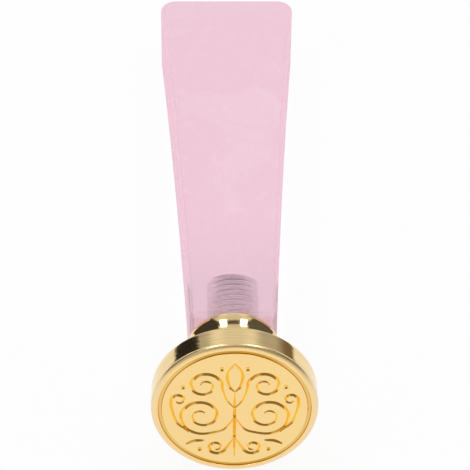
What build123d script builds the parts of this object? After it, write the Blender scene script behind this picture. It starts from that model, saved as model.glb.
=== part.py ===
import os
from math import cos, radians, sin, tan

from build123d import *

os.makedirs("parts", exist_ok=True)

# All sizes are in millimetres. The stamp lies along +Y, the middle of its seal
# face is the origin, the face looks along -Y and +Z is up.

# Turned brass head: a disc with a rounded front edge, a hollow neck curve and a collar
head_height = 14.0
disc_diameter = 25.0
disc_thickness = 4.2
face_edge_round = 0.6
disc_back_round = 0.35
neck_diameter = 11.6
neck_foot_diameter = 15.0
collar_diameter = 14.4
collar_band = 0.7
collar_edge_round = 0.2

# Cast resin handle: a paddle of even thickness whose sides flare in a shallow curve,
# with its far end nearly as wide as the disc
handle_length = 92.5
handle_thickness = 13.6
foot_width = 13.3
end_inset = 0.1
end_width = disc_diameter - 2 * end_inset
side_hollow = 0.38
foot_corner_round = 1.3
end_corner_round = 2.8
handle_edge_round = 1.1

# M8 stud that joins the two, and the plain holes that hold it
thread_diameter = 8.0
thread_pitch = 1.25
thread_angle = 60.0
thread_depth = 0.6 * thread_pitch
ridge_sink = 0.15
blank_margin = 0.05
stud_in_handle = 12.0
stud_in_head = 9.0
stud_end_chamfer = 0.5
hole_clearance = 0.05
hole_end_gap = 0.4
drill_point_angle = 118.0

# Engraving on the seal face; the ornament is drawn for a border of ornament_radius
engraving_depth = 0.35
stroke_width = 0.46
border_inset = 0.75
border_width = 0.6
dot_radius = 0.38
ornament_radius = 11.15

thread_radius = thread_diameter / 2
hole_radius = thread_radius + hole_clearance
face_radius = disc_diameter / 2 - face_edge_round
border_radius = face_radius - border_inset
ornament_scale = border_radius / ornament_radius
end_y = head_height + handle_length


def round_hole(mouth_y, depth, direction):
    # A drilled hole on the stamp's axis, with the drill's point at its end
    point_height = hole_radius / tan(radians(drill_point_angle / 2))
    bottom_y = mouth_y + direction * depth
    profile = Polyline(
        (0, mouth_y),
        (hole_radius, mouth_y),
        (hole_radius, bottom_y),
        (0, bottom_y + direction * point_height),
        close=True,
    )
    return revolve(make_face(profile), Axis.Y)


# The ornament is drawn on the face as seen from in front: x to the right, z up.
face_plane = Plane(origin=(0, 0, 0), x_dir=(1, 0, 0), z_dir=(0, -1, 0))


def scroll(lead, center, start_radius, end_radius, start_angle, turn):
    # A stem through the lead points that runs into a spiral; turn is in degrees
    steps = max(6, round(abs(turn) / 30))
    curl = []
    for step in range(steps + 1):
        share = step / steps
        angle = radians(start_angle + turn * share)
        radius = start_radius + (end_radius - start_radius) * share
        curl.append((center[0] + radius * cos(angle), center[1] + radius * sin(angle)))
    return Spline(*lead, *curl)


# Right half of the ornament, mirrored for the left
half_strokes = [
    # large lower scroll that leaves the stem and curls up
    scroll([(0.0, -1.6), (1.5, -3.9)], (4.9, -1.3), 3.7, 0.75, -115, 600),
    # upper scroll that turns outward
    scroll([(0.0, 0.2), (1.3, 2.0)], (4.5, 4.6), 2.75, 0.65, 195, -520),
    # side of the bud at the top of the stem
    ThreePointArc((0.0, 3.4), (1.15, 5.9), (0.0, 8.9)),
    # small curl at the foot of the stem
    scroll([(0.0, -5.6), (0.9, -7.3)], (2.75, -7.6), 1.35, 0.5, 215, 420),
    # side tendril that rises beside the large scroll
    scroll([(6.9, -4.45), (8.7, -2.4), (9.45, 0.2)], (8.3, 1.9), 1.1, 0.5, 0, 330),
    # short leaf stroke under the large scroll
    Spline((4.6, -6.2), (6.0, -6.3), (7.2, -6.9)),
]
stem = Line((0.0, -9.2), (0.0, 3.4))
half_dots = [(1.9, 7.9), (7.6, 4.4), (5.2, -8.0)]


def engraving_cutters():
    # All strokes with the round ends a milling cutter leaves, and all dots
    cutters = []
    lines = [stem]
    for stroke in half_strokes:
        lines += [stroke, mirror(stroke, about=Plane.YZ)]
    for drawn in lines:
        line = scale(drawn, by=ornament_scale)
        cutters.append(trace(line, line_width=stroke_width))
        for end in (line @ 0, line @ 1):
            cutters.append(Pos(end) * Circle(stroke_width / 2))
    for x, z in half_dots:
        for side in (1, -1):
            place = Pos(side * x * ornament_scale, z * ornament_scale)
            cutters.append(place * Circle(dot_radius))
    return [extrude(face_plane * flat, amount=-engraving_depth) for flat in cutters]


def make_head():
    disc_radius = disc_diameter / 2
    collar_radius = collar_diameter / 2
    collar_base_y = head_height - collar_band
    neck_y = (disc_thickness + collar_base_y) / 2
    outline = [
        Line((0, 0), (disc_radius, 0)),
        Line((disc_radius, 0), (disc_radius, disc_thickness)),
        Line((disc_radius, disc_thickness), (neck_foot_diameter / 2, disc_thickness)),
        ThreePointArc(
            (neck_foot_diameter / 2, disc_thickness),
            (neck_diameter / 2, neck_y),
            (collar_radius, collar_base_y),
        ),
        Line((collar_radius, collar_base_y), (collar_radius, head_height)),
        Line((collar_radius, head_height), (0, head_height)),
        Line((0, head_height), (0, 0)),
    ]
    head = revolve(make_face(outline), Axis.Y)
    circles = head.edges().filter_by(GeomType.CIRCLE)
    head = fillet(circles.group_by(Axis.Y)[0], face_edge_round)
    wide = head.edges().filter_by(GeomType.CIRCLE).sort_by(SortBy.RADIUS)[-1]
    head = fillet(wide, disc_back_round)
    top = head.edges().filter_by(GeomType.CIRCLE).group_by(Axis.Y)[-1]
    head = fillet(top, collar_edge_round)
    head -= round_hole(head_height, stud_in_head + hole_end_gap, -1)
    border = Circle(border_radius + border_width / 2) - Circle(border_radius - border_width / 2)
    head -= extrude(face_plane * border, amount=-engraving_depth)
    for cutter in engraving_cutters():
        head -= cutter
    return head


def make_handle():
    foot = foot_width / 2
    end = end_width / 2
    middle_y = (head_height + end_y) / 2
    middle = (foot + end) / 2 - side_hollow
    outline = make_face(
        [
            Line((-foot, head_height), (foot, head_height)),
            ThreePointArc((foot, head_height), (middle, middle_y), (end, end_y)),
            Line((end, end_y), (-end, end_y)),
            ThreePointArc((-end, end_y), (-middle, middle_y), (-foot, head_height)),
        ]
    )
    corners = outline.vertices().group_by(Axis.Y)
    outline = fillet(corners[0], foot_corner_round)
    corners = outline.vertices().group_by(Axis.Y)
    outline = fillet(corners[-1], end_corner_round)
    handle = extrude(outline, amount=handle_thickness / 2, both=True)
    flats = handle.faces().filter_by(Axis.Z)
    handle = fillet(flats.edges(), handle_edge_round)
    return handle - round_hole(head_height, stud_in_handle + hole_end_gap, 1)


def make_stud():
    # Rod at the thread's root with one 60 degree ridge wound round it past both ends,
    # then cut to the length of a chamfered blank
    length = stud_in_handle + stud_in_head
    root_radius = thread_radius - thread_depth
    wound_length = length + thread_pitch
    rod = Cylinder(root_radius, length)
    blank = Cylinder(thread_radius + blank_margin, length)
    blank = chamfer(blank.edges().filter_by(GeomType.CIRCLE), stud_end_chamfer + blank_margin)
    half_crest = thread_pitch / 16
    half_base = half_crest + (thread_depth + ridge_sink) * tan(radians(thread_angle / 2))
    path = Helix(thread_pitch, wound_length, root_radius, center=(0, 0, -wound_length / 2))
    section = Plane(origin=path @ 0, x_dir=(1, 0, 0), z_dir=(0, 1, 0)) * make_face(
        Polyline(
            (-ridge_sink, -half_base),
            (thread_depth, -half_crest),
            (thread_depth, half_crest),
            (-ridge_sink, half_base),
            close=True,
        )
    )
    ridge = sweep(section, path=path, is_frenet=True)
    stud = rod + (ridge & blank)
    middle_y = head_height + (stud_in_handle - stud_in_head) / 2
    return Pos(0, middle_y, 0) * Rot(-90, 0, 0) * stud


export_step(make_head(), "parts/stamp_head.step")
export_step(make_handle(), "parts/resin_handle.step")
export_step(make_stud(), "parts/threaded_stud.step")
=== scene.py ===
import math

import bmesh
import bpy
from mathutils import Matrix, Vector
from mathutils.geometry import delaunay_2d_cdt


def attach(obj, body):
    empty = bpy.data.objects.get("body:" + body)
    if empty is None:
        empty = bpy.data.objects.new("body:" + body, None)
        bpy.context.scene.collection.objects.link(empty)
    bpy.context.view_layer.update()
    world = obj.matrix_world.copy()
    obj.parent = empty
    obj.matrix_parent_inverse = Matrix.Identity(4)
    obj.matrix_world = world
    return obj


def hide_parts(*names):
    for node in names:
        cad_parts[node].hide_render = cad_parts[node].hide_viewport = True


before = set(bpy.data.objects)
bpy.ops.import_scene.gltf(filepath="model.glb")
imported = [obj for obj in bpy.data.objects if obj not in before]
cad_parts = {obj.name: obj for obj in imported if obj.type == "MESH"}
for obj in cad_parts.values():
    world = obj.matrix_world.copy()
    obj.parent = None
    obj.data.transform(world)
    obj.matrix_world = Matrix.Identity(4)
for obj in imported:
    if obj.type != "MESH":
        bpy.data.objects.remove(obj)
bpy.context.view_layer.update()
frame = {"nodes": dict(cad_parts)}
scene = bpy.context.scene
scene.view_settings.view_transform = "Standard"
mm = 0.001
print("frame loaded:", ", ".join(frame["nodes"]))


# node helpers

class Value:  # a socket that can stand in plain sums, in shader and geometry trees alike
    def __init__(self, tree, socket):
        self.tree, self.socket = tree, socket

    def sum(self, operation, first, second=None):
        return self.tree.node("ShaderNodeMath", {"operation": operation}, {0: first, 1: second})

    def __add__(self, other): return self.sum("ADD", self, other)
    def __radd__(self, other): return self.sum("ADD", other, self)
    def __sub__(self, other): return self.sum("SUBTRACT", self, other)
    def __rsub__(self, other): return self.sum("SUBTRACT", other, self)
    def __mul__(self, other): return self.sum("MULTIPLY", self, other)
    def __rmul__(self, other): return self.sum("MULTIPLY", other, self)
    def __truediv__(self, other): return self.sum("DIVIDE", self, other)
    def __rtruediv__(self, other): return self.sum("DIVIDE", other, self)
    def __pow__(self, other): return self.sum("POWER", self, other)
    def least(self, other): return self.sum("MINIMUM", self, other)
    def size(self): return self.sum("ABSOLUTE", self)
    def sine(self): return self.sum("SINE", self)

    def step(self, low, high):  # 0 below low, 1 above high, smooth between
        return self.tree.node("ShaderNodeMapRange", {"interpolation_type": "SMOOTHSTEP"},
                              {"Value": self, "From Min": low, "From Max": high})

    def band(self, rise, fall):  # 1 between a smooth rise and a smooth fall
        return self.step(*rise) * (1 - self.step(*fall))


class Tree:
    def __init__(self, nodeTree):
        self.nodes, self.links = nodeTree.nodes, nodeTree.links

    def fill(self, socket, value):
        if isinstance(value, Value):
            self.links.new(value.socket, socket)
        elif value is not None:
            socket.default_value = value

    def node(self, kind, settings=None, sockets=None, out=0):
        made = self.nodes.new(kind)
        for name, setting in (settings or {}).items():
            setattr(made, name, setting)
        for name, value in (sockets or {}).items():
            self.fill(made.inputs[name], value)
        return Value(self, made.outputs[out]) if made.outputs else made

    def parts(self, vector):  # x, y and z of a vector
        split = self.node("ShaderNodeSeparateXYZ", {}, {0: vector}).socket.node
        return [Value(self, socket) for socket in split.outputs]

    def vector(self, x=None, y=None, z=None):
        return self.node("ShaderNodeCombineXYZ", {}, {"X": x, "Y": y, "Z": z})

    def mixed(self, share, first, second):  # colours
        first, second = ((*value, 1.0) if isinstance(value, tuple) else value for value in (first, second))
        return self.node("ShaderNodeMix", {"data_type": "RGBA"}, {0: share, 6: first, 7: second}, 2)

    def noise(self, place, scale, detail=3.0, roughness=0.5, distortion=0.0):
        return self.node("ShaderNodeTexNoise", {}, {"Vector": place, "Scale": scale, "Detail": detail,
                                                     "Roughness": roughness, "Distortion": distortion})

    def bump(self, strength, distance, height):  # distance in mm
        return self.node("ShaderNodeBump", {}, {"Strength": strength, "Distance": distance * mm,
                                                 "Height": height})


def newMaterial(name):
    material = bpy.data.materials.new(name)
    material.use_nodes = True
    tree = Tree(material.node_tree)
    shader = next(n for n in tree.nodes if n.type == "BSDF_PRINCIPLED")
    place = tree.node("ShaderNodeTexCoord", {}, {}, "Object")
    return material, tree, shader.inputs, place


def makeObject(name, data):
    made = bpy.data.objects.new(name, data)
    scene.collection.objects.link(made)
    return made


# camera

view = {
    "aim": (0.7, 42.8, 0.0),
    "distance": 350.0,
    "elevation": 37.35,
    "yaw": -1.264,
    "roll": 0.64,
    "focalPixels": 2123.0,
    "imagePixels": 470,  # on each side of the picture
    "sensorWidth": 36.0,
    "clip": (0.01, 20.0),
}


def addCamera():
    up, side, roll = (math.radians(view[key]) for key in ("elevation", "yaw", "roll"))
    back = Vector((math.sin(side) * math.cos(up), -math.cos(side) * math.cos(up), math.sin(up)))
    right = Vector((math.cos(side), math.sin(side), 0.0))
    turned = Matrix((right, back.cross(right), back)).transposed() @ Matrix.Rotation(roll, 3, "Z")
    data = bpy.data.cameras.new("photoCamera")
    data.sensor_width = view["sensorWidth"]
    data.lens = view["sensorWidth"] * view["focalPixels"] / view["imagePixels"]
    data.clip_start, data.clip_end = view["clip"]
    camera = makeObject("photoCamera", data)
    place = (Vector(view["aim"]) + back * view["distance"]) * mm
    camera.matrix_world = Matrix.Translation(place) @ turned.to_4x4()
    scene.camera = camera


addCamera()
print("camera placed")


# mesh helpers

def circleAngles(count):
    return [2 * math.pi * step / count for step in range(count)]


def roundCorner(before, corner, after, radius, steps):
    # points of a fillet at a corner of a flat outline
    corner = Vector(corner)
    first, second = (Vector(before) - corner).normalized(), (Vector(after) - corner).normalized()
    half = first.angle(second) / 2
    middle = corner + (first + second).normalized() * radius / math.sin(half)
    start = corner + first * radius / math.tan(half) - middle
    end = corner + second * radius / math.tan(half) - middle
    outward = [start.slerp(end, step / steps).normalized() for step in range(steps + 1)]
    return [tuple(middle + direction * radius) for direction in outward]


def arcThrough(first, second, third, steps):
    # points of the circular arc through three points
    a, b, c = Vector(first), Vector(second), Vector(third)
    d = 2 * (a.x * (b.y - c.y) + b.x * (c.y - a.y) + c.x * (a.y - b.y))
    aa, bb, cc = a.length_squared, b.length_squared, c.length_squared
    middle = Vector(((aa * (b.y - c.y) + bb * (c.y - a.y) + cc * (a.y - b.y)) / d,
                     (aa * (c.x - b.x) + bb * (a.x - c.x) + cc * (b.x - a.x)) / d))
    radius = (a - middle).length
    return [tuple(middle + (a - middle).slerp(c - middle, step / steps).normalized() * radius)
            for step in range(steps + 1)]


# resin handle

handle = {
    "start": 14.01,
    "length": 92.49,
    "thickness": 13.6,
    "footWidth": 13.3,
    "endWidth": 24.8,
    "sideHollow": 0.38,
    "footRound": 1.3,
    "endRound": 2.8,
    "edgeRound": 1.1,
    "sideSpan": (0.03, 0.92),  # start and extent of a side between its roundings, as shares of the length
    "sideLegs": (0.02, 0.96),  # where the roundings take the side's direction
    "sideSteps": 60,
    "footSteps": 8,
    "endSteps": 16,
    "edgeSteps": 8,
}


def paddleHalf():
    # right half of the outline, from the middle of the foot to the middle of the far end
    start, end = handle["start"], handle["start"] + handle["length"]
    foot, tip = handle["footWidth"] / 2, handle["endWidth"] / 2

    def side(share):
        return (foot + (tip - foot) * share - handle["sideHollow"] * 4 * share * (1 - share),
                start + handle["length"] * share)

    near, far = (side(share) for share in handle["sideLegs"])
    first, extent = handle["sideSpan"]
    points = roundCorner((0, start), side(0), near, handle["footRound"], handle["footSteps"])
    points += [side(first + extent * step / handle["sideSteps"]) for step in range(handle["sideSteps"] + 1)]
    points += roundCorner(far, side(1), (0, end), handle["endRound"], handle["endSteps"])
    return [(x, y) for x, y in points if x > 0]


def makeHandle():
    half = paddleHalf()
    count = len(half)
    outline = half + [(-x, y) for x, y in reversed(half)]  # anticlockwise seen from above
    total = len(outline)
    normals = []
    for index in range(total):
        before, after = Vector(outline[index - 1]), Vector(outline[(index + 1) % total])
        along = (after - before).normalized()
        normals.append(Vector((along.y, -along.x)))
    edge, top = handle["edgeRound"], handle["thickness"] / 2
    turns = [math.pi / 2 * step / handle["edgeSteps"] for step in range(handle["edgeSteps"] + 1)]
    loops = [(-turn, -top + edge) for turn in reversed(turns)] + [(turn, top - edge) for turn in turns]
    coords, shading = [], []
    for turn, level in loops:
        inset = edge * (math.cos(turn) - 1)
        for (x, y), out in zip(outline, normals):
            coords.append(((x + out.x * inset) * mm, (y + out.y * inset) * mm,
                           (level + edge * math.sin(turn)) * mm))
            shading.append((out.x * math.cos(turn), out.y * math.cos(turn), math.sin(turn)))
    faces = []
    for ring in range(len(loops) - 1):
        low, high = ring * total, (ring + 1) * total
        for index in range(total):
            after = (index + 1) % total
            faces.append((low + index, low + after, high + after, high + index))
    last = (len(loops) - 1) * total
    for index in range(count - 1):  # rungs between the two sides close the flats
        rung = (index, index + 1, total - 2 - index, total - 1 - index)
        faces.append(tuple(reversed(rung)))
        faces.append(tuple(last + corner for corner in rung))
    mesh = bpy.data.meshes.new("resinHandle")
    mesh.from_pydata(coords, [], faces)
    mesh.shade_smooth()
    mesh.normals_split_custom_set_from_vertices(shading)
    return makeObject("resinHandle", mesh)


resin = {
    "colour": (0.9, 0.6, 0.71),
    "cloud": (0.94, 0.69, 0.78),
    # darker colour for the painted shade near the metal
    "low": (0.68, 0.49, 0.56),
    "through": (0.885, 0.6, 0.7),
    "roughness": 0.12,
    "veilRoughness": 0.08,
    "edgeRoughness": 0.45,
    "gloss": 1.0,
    "refraction": 1.49,
    "clearness": 0.6,
    "cloudMilk": 0.1,  # what each of these three takes off the clear share
    "headMilk": 0.6,
    "grazingMilk": 0.4,
    "stretch": 0.6,
    "swirlScale": 62.0,
    "swirlTwist": 2.2,
    "veilScale": 170.0,
    "veilTwist": 1.8,
    "dimmed": (15.0, 42.0),  # mm from the seal face
    "edgeOn": (0.43, 0.6),
    "edgeShift": 0.08,
    "waveScale": 45.0,
    "waveStrength": 0.12,
    "waveHeight": 0.4,
}


def resinMaterial():
    # a milky share over a clear tinted body; rays that are already inside leave it straight
    material, tree, shader, place = newMaterial("pinkResin")
    x, y, z = tree.parts(place)
    stretched = tree.vector(x, y * resin["stretch"], z)
    swirl = tree.noise(stretched, resin["swirlScale"], 3.0, 0.5, resin["swirlTwist"])
    veil = tree.noise(stretched, resin["veilScale"], 2.0, 0.5, resin["veilTwist"])
    cloud = swirl.step(0.48, 0.72) * 0.7 + veil.step(0.52, 0.78) * 0.3
    body = tree.mixed(cloud, resin["colour"], resin["cloud"])
    nearHead = 1 - (y / mm).step(*resin["dimmed"])  # painted shade: the resin is coloured darker near the metal
    outward = tree.parts(tree.node("ShaderNodeTexCoord", {}, {}, "Normal"))
    flat = outward[2].size().step(0.5, 0.98)  # 1 on the flats, 0 on the sides
    # the flats near the metal take the darker colour, as painted shade
    tree.fill(shader["Base Color"], tree.mixed(nearHead * flat, body, resin["low"]))
    rough = resin["roughness"] + veil.step(0.4, 0.8) * resin["veilRoughness"]
    tree.fill(shader["Roughness"], rough + (1 - flat) * resin["edgeRoughness"])
    shader["IOR"].default_value = resin["refraction"]
    shader["Specular IOR Level"].default_value = resin["gloss"]
    wave = tree.noise(place, resin["waveScale"], 1.0)
    tree.fill(shader["Normal"], tree.bump(resin["waveStrength"], resin["waveHeight"], wave))
    milky = Value(tree, shader["Base Color"].node.outputs[0])
    clear = tree.node("ShaderNodeBsdfRefraction", {}, {"Color": (*resin["through"], 1.0), "Roughness": 0.0,
                                                       "IOR": resin["refraction"]})
    facing = tree.node("ShaderNodeLayerWeight", {}, {"Blend": 0.5}, "Facing")
    shift = nearHead * resin["edgeShift"]
    edgeOn = facing.step(*(limit - shift for limit in resin["edgeOn"]))
    share = resin["clearness"] - cloud * resin["cloudMilk"]
    edgeShare = 1 - nearHead * resin["headMilk"] - facing.step(0.9, 1.0) * resin["grazingMilk"]
    share = share + (edgeShare - share) * edgeOn
    outside = tree.node("ShaderNodeMixShader", {}, {0: share, 1: milky, 2: clear})
    leaving = tree.node("ShaderNodeBsdfTransparent")
    inside = tree.node("ShaderNodeNewGeometry", {}, {}, "Backfacing")
    both = tree.node("ShaderNodeMixShader", {}, {0: inside, 1: outside, 2: leaving})
    tree.fill(tree.nodes["Material Output"].inputs["Surface"], both)
    return material


resinHandle = makeHandle()
resinHandle.data.materials.append(resinMaterial())
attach(resinHandle, "handle")
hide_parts("resin_handle")
print("handle made:", len(resinHandle.data.polygons), "faces")


# brass head

head = {
    "height": 14.0,
    "discDiameter": 25.0,
    "discThickness": 4.2,
    "faceRound": 0.6,
    "backRound": 0.35,
    "neckDiameter": 11.6,
    "neckFootDiameter": 15.0,
    "collarDiameter": 14.4,
    "collarBand": 0.7,
    "collarRound": 0.2,
    "boreRadius": 4.05,
    "boreDepth": 9.4,
    "borePoint": 2.43,
    "boreChamfer": 0.25,
    "faceSteps": 9,
    "wallSteps": 10,
    "backSteps": 6,
    "neckSteps": 28,
    "collarSteps": 5,
    "segments": 192,
    "sharpAngle": 32,
    "weld": 0.002,
}
brassParts = {"face": 0, "side": 1, "neck": 2}


def headProfile():
    # turned outline as (radius, distance from the face, which finish), from the face's edge to the bore's end
    disc, tall = head["discDiameter"] / 2, head["height"]
    thick, collar = head["discThickness"], head["collarDiameter"] / 2
    front, backEdge = (disc, 0.0), (disc, thick)
    footEdge = (head["neckFootDiameter"] / 2, thick)
    bandStart = (collar, tall - head["collarBand"])
    neckMiddle = (head["neckDiameter"] / 2, (thick + bandStart[1]) / 2)
    bore, chamfer = head["boreRadius"], head["boreChamfer"]
    boreEnd = tall - head["boreDepth"]
    faceCurve = roundCorner((0, 0), front, backEdge, head["faceRound"], head["faceSteps"])
    backCurve = roundCorner(front, backEdge, footEdge, head["backRound"], head["backSteps"])
    start, end = Vector(faceCurve[-1]), Vector(backCurve[0])
    wall = [tuple(start.lerp(end, step / head["wallSteps"])) for step in range(1, head["wallSteps"])]
    side = faceCurve + wall + backCurve
    neck = arcThrough(footEdge, neckMiddle, bandStart, head["neckSteps"])
    neck += roundCorner(bandStart, (collar, tall), (0, tall), head["collarRound"], head["collarSteps"])
    neck += [(bore + chamfer, tall), (bore, tall - chamfer)]
    neck += [(bore, boreEnd), (0.0, boreEnd - head["borePoint"])]
    return [(*point, brassParts["side"]) for point in side] + [(*point, brassParts["neck"]) for point in neck]


def turnedBody(bm):
    # all of the head but its flat face; gives back that face's radius
    profile = headProfile()
    rings = []
    for radius, depth, _ in profile:
        if radius == 0:
            rings.append([bm.verts.new((0, depth * mm, 0))])
            continue
        rings.append([bm.verts.new((radius * mm * math.cos(turn), depth * mm, radius * mm * math.sin(turn)))
                      for turn in circleAngles(head["segments"])])
    for near, far, (_, _, finish) in zip(rings, rings[1:], profile[1:]):
        for index in range(head["segments"]):
            after = (index + 1) % head["segments"]
            if len(far) == 1:
                made = bm.faces.new((near[index], near[after], far[0]))
            else:
                made = bm.faces.new((near[index], near[after], far[after], far[index]))
            made.material_index = finish
    return profile[0][0]


# engraved scroll ornament, drawn as seen from in front: x to the right, z up
engraving = {
    "depth": 0.24,
    "halfWidth": 0.28,
    "endShare": 0.5,  # width of a stroke's ends against its middle
    "swell": 0.8,
    "borderRadius": 11.15,
    "borderHalfWidth": 0.3,
    "borderBlend": (0.25, 0.1),  # inside the border's edge
    "dotRadius": 0.42,
    "dotReach": 0.02,
    "wallPower": 1.12,
    "borderPower": 4.0,  # added at the border, for a flat bottom
    "stepLength": 0.13,
    "curveSteps": 16,
    "rows": (-1.25, -1.0, -0.72, -0.36, 0.0, 0.36, 0.72, 1.0, 1.25),
    "endPoints": 12,
    "pointGap": 0.055,
    "rimGap": 0.05,
    "fieldStep": 0.7,
    "fieldRow": 0.87,
    "fieldGap": 0.3,
    "cell": 0.2,
}


def scroll(lead, center, startRadius, endRadius, startAngle, turn):
    # a stem through the lead points that runs into a spiral; angles in degrees
    steps = max(6, round(abs(turn) / 30))
    points = list(lead)
    for step in range(steps + 1):
        share = step / steps
        angle = math.radians(startAngle + turn * share)
        radius = startRadius + (endRadius - startRadius) * share
        points.append((center[0] + radius * math.cos(angle), center[1] + radius * math.sin(angle)))
    return points


def halfStrokes():
    return [
        scroll([(0.0, -1.6), (1.5, -3.9)], (4.9, -1.3), 3.7, 0.75, -115, 600),  # large lower scroll
        scroll([(0.0, 0.2), (1.3, 2.0)], (4.5, 4.6), 2.75, 0.65, 195, -520),  # upper scroll
        [(0.0, 3.4), (0.86, 4.6), (1.15, 6.1), (0.82, 7.6), (0.0, 8.9)],  # side of the bud
        scroll([(0.0, -5.6), (0.9, -7.3)], (2.75, -7.6), 1.35, 0.5, 215, 420),  # curl at the stem's foot
        scroll([(6.9, -4.45), (8.7, -2.4), (9.45, 0.2)], (8.3, 1.9), 1.1, 0.5, 0, 330),  # side tendril
        [(4.6, -6.2), (6.0, -6.3), (7.2, -6.9)],  # short leaf stroke
    ]


stemLine = [(0.0, -9.2), (0.0, 3.4)]
halfDots = [(1.9, 7.9), (7.6, 4.4), (5.2, -8.0)]


def smoothLine(points):
    # an even line through the points, with its place along the stroke from 0 to 1
    knots = [Vector(point) for point in points]
    knots = [knots[0] * 2 - knots[1]] + knots + [knots[-1] * 2 - knots[-2]]
    fine = []
    for a, b, c, d in zip(knots, knots[1:], knots[2:], knots[3:]):
        for step in range(engraving["curveSteps"]):
            t = step / engraving["curveSteps"]
            fine.append((b * 2 + (c - a) * t + (a * 2 - b * 5 + c * 4 - d) * t * t
                         + (b * 3 - a - c * 3 + d) * t ** 3) / 2)
    fine.append(knots[-2])
    lengths = [0.0]
    for near, far in zip(fine, fine[1:]):
        lengths.append(lengths[-1] + (far - near).length)
    count = max(2, round(lengths[-1] / engraving["stepLength"]))
    line, index = [], 0
    for step in range(count + 1):
        reach = lengths[-1] * step / count
        while index < len(fine) - 2 and lengths[index + 1] < reach:
            index += 1
        span = lengths[index + 1] - lengths[index]
        line.append((fine[index].lerp(fine[index + 1], (reach - lengths[index]) / span), step / count))
    return line


def strokeWidth(share):  # half of it, widest in the middle of a stroke
    ends = engraving["endShare"]
    swollen = math.sin(math.pi * share) ** engraving["swell"]
    return engraving["halfWidth"] * (ends + (1 - ends) * swollen)


def strokeLines():
    # every engraved line as a list of (place, half width)
    drawn = [stemLine]
    for stroke in halfStrokes():
        drawn += [stroke, [(-x, z) for x, z in stroke]]
    lines = []
    for stroke in drawn:
        lines.append([(place, strokeWidth(share)) for place, share in smoothLine(stroke)])
    for x, z in halfDots:
        for side in (1, -1):
            lines.append([(Vector((side * x + reach, z)), engraving["dotRadius"])
                          for reach in (-engraving["dotReach"], engraving["dotReach"])])
    border = engraving["borderRadius"]
    ring = circleAngles(head["segments"]) + [2 * math.pi]
    lines.append([(Vector((border * math.cos(turn), border * math.sin(turn))), engraving["borderHalfWidth"])
                  for turn in ring])
    return lines


def strokeObject(lines):
    coords, edges, widths = [], [], []
    for line in lines:
        first = len(coords)
        coords += [(place.x * mm, 0.0, place.y * mm) for place, _ in line]
        widths += [width * mm for _, width in line]
        edges += [(first + index, first + index + 1) for index in range(len(line) - 1)]
    mesh = bpy.data.meshes.new("engravedLines")
    mesh.from_pydata(coords, edges, [])
    mesh.attributes.new("halfWidth", "FLOAT", "POINT").data.foreach_set("value", widths)
    return makeObject("engravedLines", mesh)


def faceSheet(lines, rim):
    # flat disc whose points follow the engraved lines, so that each groove has clean walls
    spots, taken = [], {}

    def add(x, z, gap):  # unless another point is nearer than the gap
        cell = (math.floor(x / engraving["cell"]), math.floor(z / engraving["cell"]))
        for across in (-1, 0, 1):
            for along in (-1, 0, 1):
                for near in taken.get((cell[0] + across, cell[1] + along), ()):
                    if (near.x - x) ** 2 + (near.y - z) ** 2 < gap * gap:
                        return
        spot = Vector((x, z))
        taken.setdefault(cell, []).append(spot)
        spots.append(spot)

    for turn in circleAngles(head["segments"]):
        add(rim * math.cos(turn), rim * math.sin(turn), 0.0)
    for row in sorted(engraving["rows"], key=abs):
        for line in reversed(lines):
            last = len(line) - 1
            for index, (place, width) in enumerate(line):
                before, after = line[max(index - 1, 0)][0], line[min(index + 1, last)][0]
                along = (after - before).normalized()
                spot = place + Vector((-along.y, along.x)) * width * row
                if spot.length < rim - engraving["rimGap"]:
                    add(spot.x, spot.y, engraving["pointGap"])
                if index in (0, last) and row > 0:  # round ends
                    reach = width * row
                    for turn in circleAngles(engraving["endPoints"]):
                        add(place.x + reach * math.cos(turn), place.y + reach * math.sin(turn),
                            engraving["pointGap"])
    count = round(rim / engraving["fieldStep"])
    for row in range(-count, count + 1):
        for column in range(-count, count + 1):
            x = (column + 0.5 * (row % 2)) * engraving["fieldStep"]
            z = row * engraving["fieldStep"] * engraving["fieldRow"]
            if math.hypot(x, z) < rim - engraving["fieldGap"]:
                add(x, z, engraving["fieldGap"])
    verts, _, faces = delaunay_2d_cdt(spots, [], [], 0, 1e-5)[:3]
    mesh = bpy.data.meshes.new("faceSheet")
    mesh.from_pydata([(place.x * mm, 0.0, place.y * mm) for place in verts], [], faces)
    return makeObject("faceSheet", mesh)


def borderShare(x, z):  # 1 around the border ring, 0 over the ornament
    edge = engraving["borderRadius"] - engraving["borderHalfWidth"]
    return ((x * x + z * z) ** 0.5 / mm).step(*(edge - inside for inside in engraving["borderBlend"]))


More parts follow.
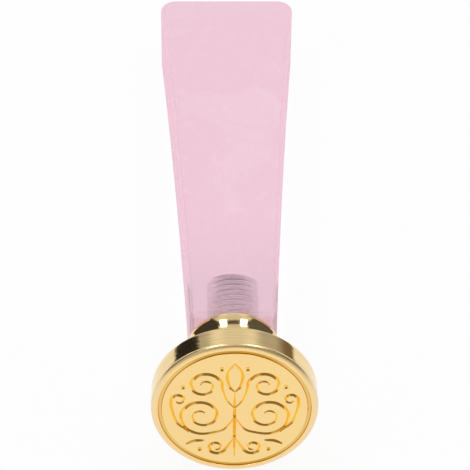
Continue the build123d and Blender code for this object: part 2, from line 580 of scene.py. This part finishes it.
def engraveTree():
    # sinks each point by its distance to the nearest engraved line
    group = bpy.data.node_groups.new("engrave", "GeometryNodeTree")
    sockets = {"Geometry": "Geometry", "Lines": "Object", "Depth": "Float", "Finish": "Material"}
    for name, kind in sockets.items():
        group.interface.new_socket(name, in_out="INPUT", socket_type="NodeSocket" + kind)
    group.interface.new_socket("Geometry", in_out="OUTPUT", socket_type="NodeSocketGeometry")
    tree = Tree(group)
    entry = tree.node("NodeGroupInput").socket.node
    given = {socket.name: Value(tree, socket) for socket in entry.outputs}
    lines = tree.node("GeometryNodeObjectInfo", {"transform_space": "ORIGINAL"},
                      {"Object": given["Lines"]}, "Geometry")
    reach = tree.node("GeometryNodeProximity", {"target_element": "EDGES"}, {0: lines}, "Distance")
    nearest = tree.node("GeometryNodeSampleNearest", {"domain": "POINT"}, {"Geometry": lines})
    width = tree.node("GeometryNodeInputNamedAttribute", {"data_type": "FLOAT"}, {"Name": "halfWidth"})
    local = tree.node("GeometryNodeSampleIndex", {"data_type": "FLOAT", "domain": "POINT"},
                      {"Geometry": lines, "Value": width, "Index": nearest})
    across = (reach / local).least(1.0)
    x, _, z = tree.parts(tree.node("GeometryNodeInputPosition"))
    power = engraving["wallPower"] + borderShare(x, z) * engraving["borderPower"]
    thin = (local / (engraving["halfWidth"] * mm)).least(1.0)  # thin ends are shallower
    offset = tree.vector(y=given["Depth"] * (1 - across ** power) * thin)
    moved = tree.node("GeometryNodeSetPosition", {}, {"Geometry": given["Geometry"], "Offset": offset})
    whole = tree.node("GeometryNodeRealizeInstances", {}, {"Geometry": moved})
    painted = tree.node("GeometryNodeSetMaterial", {}, {"Geometry": whole, "Material": given["Finish"]})
    tree.node("NodeGroupOutput", {}, {"Geometry": painted})
    return group


def engravedFace(rim, finish):
    lines = strokeLines()
    guide, sheet = strokeObject(lines), faceSheet(lines, rim)
    modifier = sheet.modifiers.new("engrave", "NODES")
    modifier.node_group = engraveTree()
    keys = {item.name: item.identifier for item in modifier.node_group.interface.items_tree
            if item.in_out == "INPUT"}
    modifier[keys["Lines"]] = guide
    modifier[keys["Depth"]] = engraving["depth"] * mm
    modifier[keys["Finish"]] = finish
    shaped = sheet.evaluated_get(bpy.context.evaluated_depsgraph_get())
    mesh = bpy.data.meshes.new_from_object(shaped)
    sheet.modifiers.remove(modifier)
    for spent in (guide, sheet):
        bpy.data.objects.remove(spent)
    return mesh


brass = {
    "face": (0.97, 0.695, 0.3),
    "faceDeep": (0.98, 0.7, 0.16),
    "faceTarnishAndShade": (0.93, 0.45, 0.046),
    "faceRoughness": 0.22,
    "deepGloss": 0.1,
    "grainScale": 900.0,
    "grainRoughness": 0.1,
    "grainStrength": 0.08,
    "tarnishScale": 110.0,
    "tarnishShare": 0.4,
    "ringPale": (0.8, 0.53, 0.17),
    "ringPaintedShade": (0.63, 0.35, 0.045),
    "ringTurns": (7.5, 11.0),  # mm above or below the middle, where the border ring's painted shade comes in
    "body": (0.95, 0.71, 0.345),
    "bodyWorn": (0.81, 0.605, 0.31),
    "bodyRoughness": 0.07,
    # paler colour for the painted highlight on the lower rim
    "rim": (0.93, 0.73, 0.47),
    "rimEnds": (0.2, 0.5),  # mm behind the face
    "rimHighlightFades": (3.0, 8.0),  # mm above the middle, where the painted highlight fades out
    "rimRoughness": 0.28,
    "streaks": 4200.0,
    "streakRoughness": 0.06,
    "ripples": (14.0, 2600.0),  # round the disc, along it
    "rippleStrength": 0.36,
    "rippleHeight": 0.02,
    "hazeScale": 260.0,
    "hazeRoughness": 0.05,
    "toolMarks": 14000.0,
    "toolStrength": 0.05,
    "fineHeight": 0.03,
}


def faceMaterial():
    material, tree, shader, place = newMaterial("sealFaceBrass")
    x, y, z = tree.parts(place)
    deep = (y / (engraving["depth"] * mm)).step(0.0, 0.35)  # 1 in the grooves
    grain = tree.noise(place, brass["grainScale"], 3.0)
    tarnishAndShade = tree.noise(place, brass["tarnishScale"], 2.0, 0.5).step(0.45, 0.62)
    outward = tree.parts(tree.node("ShaderNodeTexCoord", {}, {}, "Normal"))
    # groove walls that face up are painted darker, as painted shade, on top of the random tarnish
    tarnishAndShade = (tarnishAndShade * brass["tarnishShare"] + outward[2].step(0.15, 0.5)).least(1.0)
    groove = tree.mixed(tarnishAndShade, brass["faceDeep"], brass["faceTarnishAndShade"])
    # the border ring is painted darker at its top and bottom, as painted shade
    ring = tree.mixed((z / mm).size().step(*brass["ringTurns"]), brass["ringPale"], brass["ringPaintedShade"])
    groove = tree.mixed(borderShare(x, z), groove, ring)
    tree.fill(shader["Base Color"], tree.mixed(deep, brass["face"], groove))
    shader["Metallic"].default_value = 1.0
    rough = brass["faceRoughness"] + (grain - 0.5) * brass["grainRoughness"]
    tree.fill(shader["Roughness"], rough - deep * brass["deepGloss"])
    tree.fill(shader["Normal"], tree.bump(brass["grainStrength"], brass["fineHeight"], grain))
    return material


def sideMaterial():
    # satin side with streaks that run round the disc
    material, tree, shader, place = newMaterial("discSideBrass")
    x, y, z = tree.parts(place)
    around = tree.node("ShaderNodeMath", {"operation": "ARCTAN2"}, {0: x, 1: z})
    streakPlace = tree.vector(around.sine() * 2.2, y * brass["streaks"], (around * 0.5).sine())
    streak = tree.noise(streakPlace, 1.0, 3.0, 0.6)
    edge = 1 - (y / mm).step(*brass["rimEnds"])
    # painted highlight: the lower part of the rim next to the face is coloured paler
    lowRimHighlight = edge * (1 - (z / mm).step(*brass["rimHighlightFades"]))
    satin = tree.mixed(streak.step(0.3, 0.7), brass["body"], brass["bodyWorn"])
    tree.fill(shader["Base Color"], tree.mixed(lowRimHighlight, satin, brass["rim"]))
    shader["Metallic"].default_value = 1.0
    rough = brass["bodyRoughness"] + streak.step(0.3, 0.75) * brass["streakRoughness"]
    tree.fill(shader["Roughness"], rough + edge * brass["rimRoughness"])
    turns, lengths = brass["ripples"]
    ripple = tree.noise(tree.vector(around * turns, y * lengths), 1.0, 2.0, 0.6)
    height = streak * 0.2 + ripple * 1.8
    tree.fill(shader["Normal"], tree.bump(brass["rippleStrength"], brass["rippleHeight"], height))
    return material


def neckMaterial():
    material, tree, shader, place = newMaterial("neckBrass")
    y = tree.parts(place)[1]
    haze = tree.noise(place, brass["hazeScale"], 3.0)
    marks = tree.noise(tree.vector(y=y * brass["toolMarks"]), 1.0, 2.0)
    tree.fill(shader["Base Color"], tree.mixed(haze.step(0.35, 0.7), brass["body"], brass["bodyWorn"]))
    shader["Metallic"].default_value = 1.0
    tree.fill(shader["Roughness"], brass["bodyRoughness"] + haze.step(0.4, 0.8) * brass["hazeRoughness"])
    tree.fill(shader["Normal"], tree.bump(brass["toolStrength"], brass["fineHeight"], marks))
    return material


def makeHead():
    finishes = [faceMaterial(), sideMaterial(), neckMaterial()]  # in the order of brassParts
    bm = bmesh.new()
    rim = turnedBody(bm)
    bm.from_mesh(engravedFace(rim, finishes[brassParts["face"]]))
    bmesh.ops.remove_doubles(bm, verts=bm.verts, dist=head["weld"] * mm)
    bmesh.ops.recalc_face_normals(bm, faces=bm.faces)
    mesh = bpy.data.meshes.new("brassHead")
    bm.to_mesh(mesh)
    loose = [edge for edge in bm.edges if len(edge.link_faces) != 2]
    print("head edges not shared by two faces:", len(loose))
    bm.free()
    for finish in finishes:
        mesh.materials.append(finish)
    mesh.shade_smooth()
    mesh.set_sharp_from_angle(angle=math.radians(head["sharpAngle"]))
    return makeObject("brassHead", mesh)


brassHead = makeHead()
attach(brassHead, "head")
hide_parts("stamp_head")
print("head made:", len(brassHead.data.polygons), "faces")


# threaded stud

steel = {
    "crest": (0.95, 0.92, 0.94),
    "stained": (0.84, 0.8, 0.82),
    # darker colour for the painted shade along the top
    "topShade": (0.42, 0.39, 0.42),
    "bare": (0.62, 0.61, 0.6),
    # painted shade in the thread roots
    "root": (0.03, 0.025, 0.03),
    "roughness": 0.3,
    "stainRoughness": 0.16,
    "metal": 0.6,
    "haze": 0.4,
    "hazeRoughness": 0.4,
    "stainScale": 420.0,
    "creptShare": 0.45,
    "footShare": 0.45,
    "inHandle": (13.7, 14.1),  # mm from the seal face, as are the next two
    "footFades": (17.0, 24.0),
    "endFades": (22.5, 25.0),
    "rootRadius": (3.26, 3.46),
    "coreRadius": (2.5, 2.8),
    "lines": (300.0, 8000.0),  # across and along the stud
    "lineStrength": 0.1,
    "lineHeight": 0.03,
}


def steelMaterial():
    # bright zinc, with painted shade in the thread roots and along the top
    material, tree, shader, place = newMaterial("studSteel")
    x, y, z = tree.parts(place)
    radius = (x * x + z * z) ** 0.5 / mm
    beside, along = (x / mm).size(), y / mm
    stain = tree.noise(place, steel["stainScale"], 4.0, 0.6)
    crept = tree.noise(place, steel["stainScale"], 3.0, 0.6).step(0.42, 0.58)
    inHandle = along.step(*steel["inHandle"])
    nearFoot = 1 - along.step(*steel["footFades"])
    nearEnd = along.step(*steel["endFades"])
    flank = ((x / mm).step(0.8, 2.6) * 0.55 + beside.step(1.2, 3.0) * 0.2) * (z / mm).step(1.6, 2.8)
    # the painted shade in the thread roots fades where stain crept, near the foot and on the lit flanks
    root = radius.band(steel["coreRadius"], steel["rootRadius"])
    root = root * (1 - crept * steel["creptShare"]) * (1 - nearFoot * steel["footShare"]) * (1 - flank)
    across, lengths = steel["lines"]
    line = tree.noise(tree.vector(x * across, y * lengths, z * across), 1.0, 2.0)
    bright = tree.mixed(stain.step(0.4, 0.7), steel["crest"], steel["stained"])
    middle = (1 - beside.step(0.6, 2.8)) * (0.2 + nearEnd * 0.35)  # painted shade: darker along the top, more so near the end
    bright = tree.mixed(middle, bright, steel["topShade"])
    bright = tree.mixed(inHandle, steel["bare"], bright)
    tree.fill(shader["Base Color"], tree.mixed(root, bright, steel["root"]))
    tree.fill(shader["Metallic"], 1 - inHandle * (1 - steel["metal"]))
    tree.fill(shader["Roughness"], steel["roughness"] + stain * steel["stainRoughness"])
    shader["Sheen Weight"].default_value = steel["haze"]
    shader["Sheen Roughness"].default_value = steel["hazeRoughness"]
    tree.fill(shader["Normal"], tree.bump(steel["lineStrength"], steel["lineHeight"], line))
    return material


stud = frame["nodes"]["threaded_stud"]
stud.data.materials.clear()
stud.data.materials.append(steelMaterial())
print("stud finished")


# floor, surroundings and lamps

studio = {
    "floorTilt": 3.0,
    "floorHeight": -12.72,
    "floorSize": 0.7,
    "floorColour": (0.92, 0.92, 0.92),
    "floorShade": (0.86, 0.86, 0.86),
    "floorGrain": 0.04,
    "grainScale": 60.0,
    "backdropShare": 0.92,
    "behind": 0.78,
    "sideRise": 0.1,
    "sideFall": 0.4,
    "inFront": 0.75,
    "lowInFront": 0.5,
    "zenith": 0.09,
    "dark": 0.05,
    "darkLeft": 0.024,
    "darkRight": 0.11,
    "cameraShade": 0.28,
    "darkBehind": (0.485, 0.5),  # how far left and right the cards begin
    "darkBeside": 0.53,
    "cardTint": (0.95, 0.74, 0.5),
    "cardShare": 0.65,
    "lampBrightness": 6.2,
    "lampSize": (0.145, 0.175),
    "lampDistance": 0.6,
    "lampAim": (0.0, 0.04, 0.0),
    "lampDirections": ((-0.372, -0.1, 0.925), (0.385, -0.1, 0.92)),
    "fills": (  # brightness, size, place
        (0.17, 1.2, (0.0, 0.04, 0.9)),
        (0.8, 0.5, (-0.6, 0.04, 0.2)),
        (0.8, 0.5, (0.6, 0.04, 0.2)),
    ),
}


def directSight(tree):
    # three masks: what is seen straight, mirrored, and through the resin
    path = tree.node("ShaderNodeLightPath").socket.node
    kinds = ("Is Camera Ray", "Is Glossy Ray", "Is Transmission Ray")
    return [Value(tree, path.outputs[kind]) for kind in kinds]


def addFloor():
    half = studio["floorSize"] / 2
    tilt = math.tan(math.radians(studio["floorTilt"]))
    coords = [(x, y, studio["floorHeight"] * mm + y * tilt)
              for x, y in ((-half, -half), (half, -half), (half, half), (-half, half))]
    mesh = bpy.data.meshes.new("paleFloor")
    mesh.from_pydata(coords, [], [(0, 1, 2, 3)])
    floor = makeObject("paleFloor", mesh)
    material, tree, _, place = newMaterial("paleFloor")
    straight, mirrored, through = directSight(tree)
    shine = tree.node("ShaderNodeEmission", {}, {"Color": (1.0, 1.0, 1.0, 1.0), "Strength": 1.0})
    grain = tree.noise(place, studio["grainScale"], 2.0)
    colour = tree.mixed(grain * studio["floorGrain"], studio["floorColour"], studio["floorShade"])
    matt = tree.node("ShaderNodeBsdfDiffuse", {}, {"Color": colour})
    share = (straight + mirrored + through).least(1.0) * studio["backdropShare"]
    both = tree.node("ShaderNodeMixShader", {}, {0: share, 1: matt, 2: shine})
    tree.fill(tree.nodes["Material Output"].inputs["Surface"], both)
    mesh.materials.append(material)


def addSurroundings():
    # brightness by direction: a pale room with dark cards, which the brass mirrors
    world = bpy.data.worlds.new("studio")
    world.use_nodes = True
    scene.world = world
    tree = Tree(world.node_tree)
    x, y, z = tree.parts(tree.node("ShaderNodeTexCoord", {}, {}, "Generated"))
    beside, onRight = x.size(), x.step(-0.1, 0.1)
    back, farBack = y.step(0.1, 0.3), y.step(0.6, 0.68)
    left, right = studio["darkBehind"]
    leftCard = (0 - x).step(left, left + 0.03) * (1 - z.step(0.52, 0.6)) * farBack
    rightCard = x.step(right, right + 0.06) * (1 - z.step(0.12, 0.36)) * farBack
    wings = beside.step(studio["darkBeside"], studio["darkBeside"] + 0.05)
    wings = wings * (beside + y).step(0.33, 0.4) * (1 - back)
    cards = leftCard + rightCard * studio["cardShare"] + wings
    shade = cards.least(1.0) * z.step(-0.06, 0.0)
    dark = studio["dark"] + (studio["darkLeft"] - studio["dark"]) * back * (1 - onRight)
    dark = dark + (studio["darkRight"] - studio["dark"]) * (1 - back) * onRight
    front = studio["lowInFront"] + z.step(0.2, 0.5) * (studio["inFront"] - studio["lowInFront"])
    rise = beside.step(0.1, 0.24) * studio["sideRise"]
    falloff = beside.step(0.27, 0.44) * farBack * studio["sideFall"]
    wall = front + back * (studio["behind"] + rise - falloff - front)
    gap = y.band((-0.18, -0.14), (0.0, 0.04)) * z.step(0.6, 0.7)  # between the two softboxes
    wall = wall + gap * (studio["zenith"] - wall)
    room = wall + shade * (dark - wall)
    cameraSide = x.band((-0.35, -0.2), (0.8, 0.9)) * z.band((0.06, 0.14), (0.74, 0.86))
    cameraSide = cameraSide * (1 - y.step(-0.5, -0.35))
    room = room + cameraSide * (studio["cameraShade"] - room)
    straight, _, through = directSight(tree)
    white = (straight + through).least(1.0)
    tint = tree.mixed(rightCard * (1 - white), (1.0, 1.0, 1.0), studio["cardTint"])
    background = next(n for n in tree.nodes if n.type == "BACKGROUND")
    tree.fill(background.inputs["Color"], tint)
    tree.fill(background.inputs["Strength"], white + (1 - white) * room)


def addLamps():
    aim = Vector(studio["lampAim"])
    for number, direction in enumerate(studio["lampDirections"]):
        data = bpy.data.lights.new(f"softbox{number}", "AREA")
        data.shape = "RECTANGLE"
        data.size, data.size_y = studio["lampSize"]
        data.energy = studio["lampBrightness"] * math.pi * data.size * data.size_y
        lamp = makeObject(data.name, data)
        toward = Vector(direction).normalized()
        across = Vector((0, 1, 0)).cross(toward).normalized()  # the long side lies along the stamp
        turned = Matrix((across, toward.cross(across), toward)).transposed().to_4x4()
        lamp.matrix_world = Matrix.Translation(aim + toward * studio["lampDistance"]) @ turned
    for number, (brightness, size, place) in enumerate(studio["fills"]):
        data = bpy.data.lights.new(f"fill{number}", "AREA")
        data.size = size
        data.energy = brightness * math.pi * size ** 2
        fill = makeObject(data.name, data)
        fill.location = place
        fill.rotation_euler = (Vector(place) - aim).to_track_quat("Z", "Y").to_euler()
        fill.visible_camera = fill.visible_glossy = False  # polished brass shows the softboxes alone


addFloor()
addSurroundings()
addLamps()
print("studio set")
